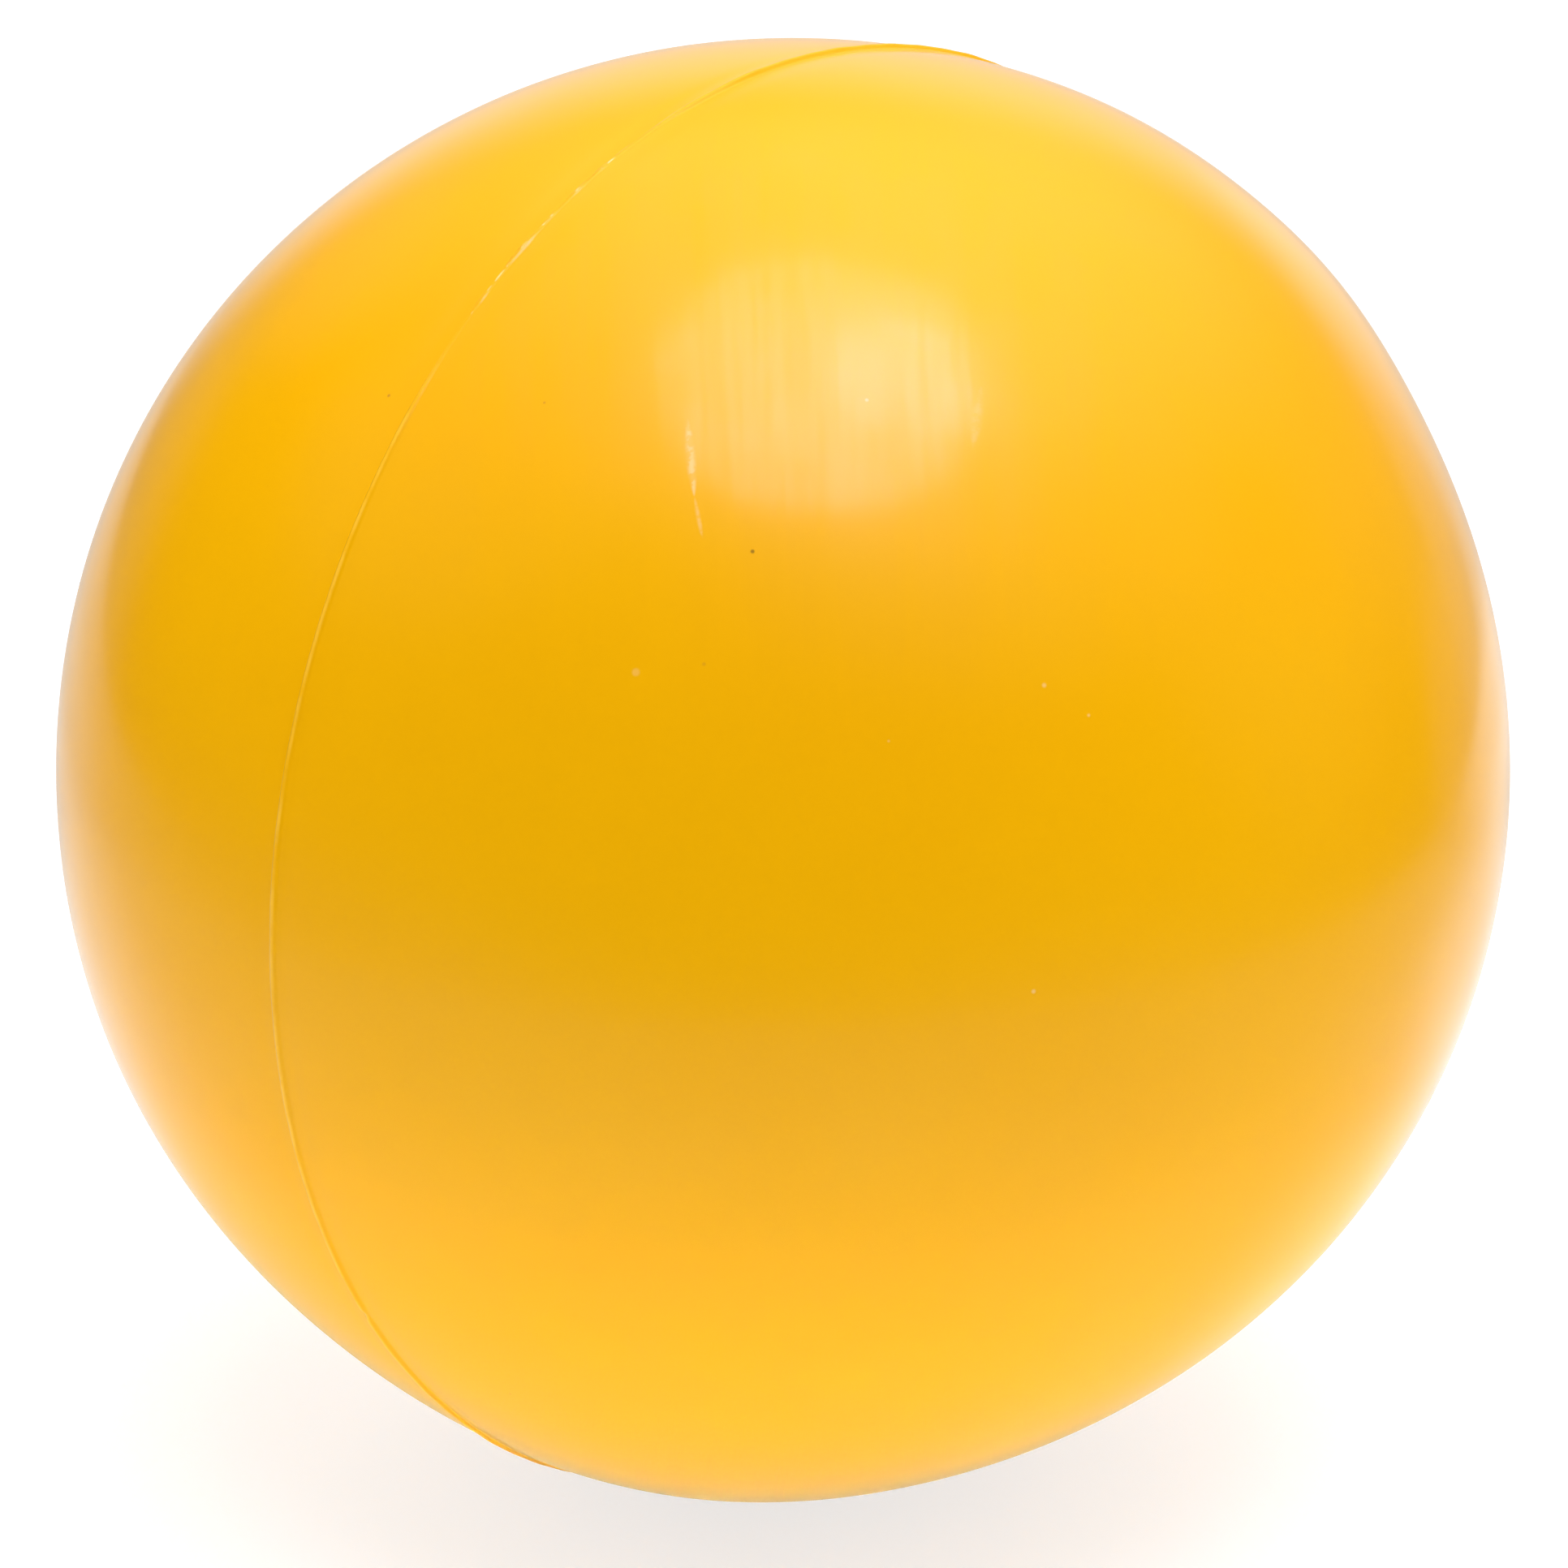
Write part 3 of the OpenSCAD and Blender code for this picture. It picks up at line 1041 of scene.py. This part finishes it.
# The white table under the ball, in millimetres from its centre to the camera's right and towards the camera
TABLE_RIGHT = 450
TABLE_LEFT = -700
TABLE_NEAR = 420
TABLE_FAR = -1500
TABLE_CORNER = 260
CORNER_STEPS = 12

# Painted pools of light on the table, which glow in reflections only: centre, full and outer radius in
# metres, strength
PAINTED_POOLS = (
    (on_floor(0, -900), 0.4, 1.2, 0.66),
    (on_floor(330, -370), 0.08, 0.2, 0.4),
    (on_floor(200, -150), 0.06, 0.15, 0.35),
    (on_floor(110, -20), 0.02, 0.08, 0.3),
    (on_floor(-330, -370), 0.06, 0.2, 0.1),
    (on_floor(-215, -150), 0.04, 0.15, 0.25),
    (on_floor(-125, -30), 0.02, 0.09, 0.1),
)

# The middle of the painted glow on the table under the ball, and the middle of the painted yellow bounce
# light near it, both seen only in reflections
GLOW_UNDER_BALL_CENTRE = on_floor(0, 28)
YELLOW_BOUNCE_CENTRE = on_floor(0, 130)

# The table's tone under plain light, to the camera and in reflections, and the painted yellow of the ball's
# bounce light, which tints its glow in reflections near the ball
TABLE_GREY = (0.6, 0.6, 0.6, 1)
TABLE_SEEN = (0.3, 0.3, 0.3, 1)
TABLE_MIRRORED = (0.13, 0.13, 0.13, 1)
PAINTED_BOUNCE_YELLOW = (1, 0.92, 0.55, 1)
BLACK = (0, 0, 0, 1)
WHITE = (1, 1, 1, 1)

# How much light the table adds to bring it up to white for the camera, and in reflections
LIFT_SEEN = 0.75
LIFT_MIRRORED = 0.32

# In reflections the table fades away from the ball: the radii, in metres, between which it falls to a share,
# the share, and the radii between which it ends
TABLE_FADE = (0.1, 0.34)
TABLE_FADE_SHARE = 0.35
TABLE_EDGE = (0.37, 0.46)

# Radii, in metres, between which the painted glow under the ball and the painted yellow bounce fade out, and
# how much brighter the painted glow is
GLOW_UNDER_BALL_FADE = (0.03, 0.11)
GLOW_UNDER_BALL_GAIN = 1.5
YELLOW_BOUNCE_FADE = (0.18, 0.28)


def build_floor():
    """A pale table top with rounded corners, which shows near white and keeps the ball's shadow."""
    outline = []
    corners = (
        (TABLE_RIGHT - TABLE_CORNER, TABLE_NEAR - TABLE_CORNER, 0),
        (TABLE_LEFT + TABLE_CORNER, TABLE_NEAR - TABLE_CORNER, 90),
        (TABLE_LEFT + TABLE_CORNER, TABLE_FAR + TABLE_CORNER, 180),
        (TABLE_RIGHT - TABLE_CORNER, TABLE_FAR + TABLE_CORNER, 270),
    )
    for across, near, start in corners:
        for i in range(CORNER_STEPS + 1):
            turn = math.radians(start + 90 * i / CORNER_STEPS)
            x = across + TABLE_CORNER * math.cos(turn)
            y = near + TABLE_CORNER * math.sin(turn)
            outline.append(tuple(on_floor(x, y)))
    mesh = bpy.data.meshes.new("floor")
    mesh.from_pydata(outline, [], [tuple(range(len(outline)))])
    mesh.materials.append(floor_material())
    floor = bpy.data.objects.new("floor", mesh)
    bpy.context.scene.collection.objects.link(floor)


def floor_material():
    """Matt white, brought up to white where the camera sees it in the open. In reflections it glows, with
    painted pools of light, a painted glow under the ball and the painted yellow of the ball's bounce light.
    """
    material, shader = new_material("floor_white")
    path = shader.add("ShaderNodeLightPath")
    seen = path.outputs["Is Camera Ray"]
    mirrored = path.outputs["Is Glossy Ray"]
    place = shader.place()
    away = shader.vector("DISTANCE", place, tuple(on_floor(0, 0)))
    falloff = shader.remap(away, *TABLE_FADE, 1.0, TABLE_FADE_SHARE)
    falloff = shader.product(falloff, shader.remap(away, *TABLE_EDGE, 1.0, 0.0))
    albedo = shader.mix(mirrored, TABLE_GREY, shader.mix(falloff, BLACK, TABLE_MIRRORED))
    albedo = shader.mix(seen, albedo, TABLE_SEEN)
    matt = shader.add("ShaderNodeBsdfDiffuse", Color=albedo)
    # A painted glow on the table under the ball, seen only in reflections
    from_glow_centre = shader.vector("DISTANCE", place, tuple(GLOW_UNDER_BALL_CENTRE))
    glow_under_ball = shader.remap(from_glow_centre, *GLOW_UNDER_BALL_FADE, GLOW_UNDER_BALL_GAIN, 1.0)
    in_gloss = shader.product(falloff, glow_under_ball, LIFT_MIRRORED)
    # Painted pools of light, seen only in reflections
    for centre, full, none, strength in PAINTED_POOLS:
        spread = shader.vector("DISTANCE", place, tuple(centre))
        in_gloss = shader.maths("ADD", in_gloss, shader.remap(spread, none, full, 0.0, strength))
    strength = shader.weighted((seen, LIFT_SEEN), (mirrored, in_gloss))
    # The painted yellow of the ball's bounce light near it, seen only in reflections
    from_yellow_bounce = shader.vector("DISTANCE", place, tuple(YELLOW_BOUNCE_CENTRE))
    yellow_bounce = shader.product(mirrored, shader.remap(from_yellow_bounce, *YELLOW_BOUNCE_FADE, 1.0, 0.0))
    hue = shader.mix(yellow_bounce, WHITE, PAINTED_BOUNCE_YELLOW)
    lift = shader.add("ShaderNodeEmission", Color=hue, Strength=strength)
    both = shader.nodes.new("ShaderNodeAddShader")
    shader.links.new(matt.outputs[0], both.inputs[0])
    shader.links.new(lift.outputs[0], both.inputs[1])
    finish_material(shader, both)
    return material


# The soft box, in heights above the ball: its centre and half size, to the camera's right and towards it, and
# how square it is
BOX_CENTRE = (0.1, 0.155)
BOX_HALF = (0.385, 0.43)
BOX_ROUNDING = 2.5
BOX_STRENGTH = 3.9

# Directions flatter than this, as the sine of their height, count as this flat
FLATTEST = 0.05

# The box's soft edge, from none to full, as the distance from its centre with its half size as the unit. Its
# fade towards the back: from where to where, and the share that is left there
BOX_EDGE = (1.2, 0.75)
BOX_FADE = (-0.32, 0.1)
BOX_FADE_SHARE = 0.42

# The light's tone where it is strong and where it is weak, and the strengths between which it turns
BOX_BLUE = (0.66, 0.66, 0.92, 1)
ROOM_WHITE = (0.8, 0.8, 0.8, 1)
TONE_RANGE = (1.0, 8.0)

# The glows of the studio: direction, full within and none beyond so many degrees, strength
GLOWS = (
    (toward(72, 74), 3, 12, 3.9),
    (toward(50, 70), 8, 30, 0.6),
    (toward(60, 66), 15, 48, 0.3),
    (toward(180, 80), 16, 46, 0.45),
    (toward(150, 60), 10, 46, 0.6),
    (toward(177, 3), 8, 32, 0.8),
    (toward(-152, -6), 5, 26, 0.18),
    (toward(-92, 53), 8, 38, 0.2),
    (toward(-152, 32), 5, 24, 0.25),
    (toward(140, 20), 5, 34, 0.16),
    (toward(95, 20), 5, 34, 0.12),
    (toward(152, -6), 8, 18, 0.4),
    (toward(131, -10), 3, 12, 0.25),
)


def glow(shader, direction, centre, full, none, strength):
    """Light from round a direction, full within one angle of it and none beyond another."""
    cosine = shader.vector("DOT_PRODUCT", direction, tuple(centre))
    return shader.remap(cosine, math.cos(math.radians(none)), math.cos(math.radians(full)), 0.0, strength)


def soft_box(shader, direction):
    """A big round-cornered light overhead, which fades towards its back edge."""
    height = shader.maths("MAXIMUM", shader.vector("DOT_PRODUCT", direction, (0, 0, 1)), FLATTEST)
    across = shader.maths("DIVIDE", shader.vector("DOT_PRODUCT", direction, tuple(RIGHT)), height)
    near = shader.maths("DIVIDE", shader.vector("DOT_PRODUCT", direction, tuple(LEVEL_BACK)), height)
    from_centre = []
    for value, centre, half in zip((across, near), BOX_CENTRE, BOX_HALF):
        offset = shader.maths("ABSOLUTE", shader.maths("SUBTRACT", value, centre))
        from_centre.append(shader.maths("POWER", shader.maths("DIVIDE", offset, half), BOX_ROUNDING))
    edge = shader.remap(shader.maths("ADD", *from_centre), *BOX_EDGE)
    fade = shader.remap(near, *BOX_FADE, BOX_FADE_SHARE, 1.0)
    return shader.product(edge, fade, BOX_STRENGTH)


def build_world():
    """A studio: a big soft box overhead, pale surroundings behind the ball and dark ones before it."""
    world = bpy.data.worlds.new("studio")
    bpy.context.scene.world = world
    world.use_nodes = True
    shader = Shader(world.node_tree)
    direction = shader.add("ShaderNodeTexCoord").outputs["Generated"]
    light = soft_box(shader, direction)
    for centre, full, none, strength in GLOWS:
        light = shader.maths("ADD", light, glow(shader, direction, centre, full, none, strength))
    seen = shader.add("ShaderNodeLightPath").outputs["Is Camera Ray"]
    unseen = shader.maths("SUBTRACT", 1.0, seen)
    strength = shader.maths("ADD", seen, shader.product(light, unseen))
    hue = shader.mix(shader.remap(light, *TONE_RANGE), ROOM_WHITE, BOX_BLUE)
    hue = shader.mix(seen, hue, WHITE)
    background = shader.add("ShaderNodeBackground", Color=hue, Strength=strength)
    output = shader.nodes.new("ShaderNodeOutputWorld")
    shader.links.new(background.outputs[0], output.inputs["Surface"])


# The soft suns: name, strength, width in degrees and the direction that they shine from
SUNS = (
    ("fill_from_above", 1.17, 50, toward(20, 80)),
    ("fill_from_camera", 0.67, 90, toward(0, 36)),
    ("fill_from_left", 1.7, 80, toward(-130, 22)),
    ("fill_from_right", 1.35, 80, toward(126, 28)),
)

# The light that the white table sends up: a disk just above the table. Its size is in metres and its height
# above the table in millimetres
TABLE_LIGHT_WATTS = 2.25
TABLE_LIGHT_SIZE = 1.0
TABLE_LIGHT_COLOR = (0.95, 1, 1)
TABLE_LIGHT_LIFT = 0.2


def add_fill(name, data, direction):
    """Places a lamp that shines from a direction and leaves no reflection of its own."""
    data.cycles.use_multiple_importance_sampling = False
    lamp = bpy.data.objects.new(name, data)
    bpy.context.scene.collection.objects.link(lamp)
    lamp.rotation_euler = direction.to_track_quat("Z", "Y").to_euler()
    lamp.visible_glossy = False
    lamp.visible_camera = False
    return lamp


def build_fills():
    """Soft light from above and from the sides, and light that the white table sends up."""
    for name, strength, width, direction in SUNS:
        sun = bpy.data.lights.new(name, "SUN")
        sun.energy = strength
        sun.angle = math.radians(width)
        add_fill(name, sun, direction)
    below = bpy.data.lights.new("fill_from_table", "AREA")
    below.shape = "DISK"
    below.size = TABLE_LIGHT_SIZE
    below.energy = TABLE_LIGHT_WATTS
    below.color = TABLE_LIGHT_COLOR
    lamp = add_fill("fill_from_table", below, Vector((0, 0, -1)))
    lamp.location = (0, 0, (FLOOR_Z + TABLE_LIGHT_LIFT) * MM)


def build_camera():
    """The camera, at the place from which the photograph was taken."""
    data = bpy.data.cameras.new("camera")
    data.lens = LENS
    data.sensor_width = SENSOR
    camera = bpy.data.objects.new("camera", data)
    bpy.context.scene.collection.objects.link(camera)
    drop = (PHOTO_SIZE / 2 - BALL_CENTRE_PX[1]) / PX_PER_UNIT * CAMERA_DISTANCE
    camera.location = BACK * CAMERA_DISTANCE - UP * drop
    camera.rotation_euler = BACK.to_track_quat("Z", "Y").to_euler()
    bpy.context.scene.camera = camera


build_cover()
dress_cad_nodes()
build_floor()
build_world()
build_fills()
build_camera()
bpy.context.scene.view_settings.view_transform = "Standard"
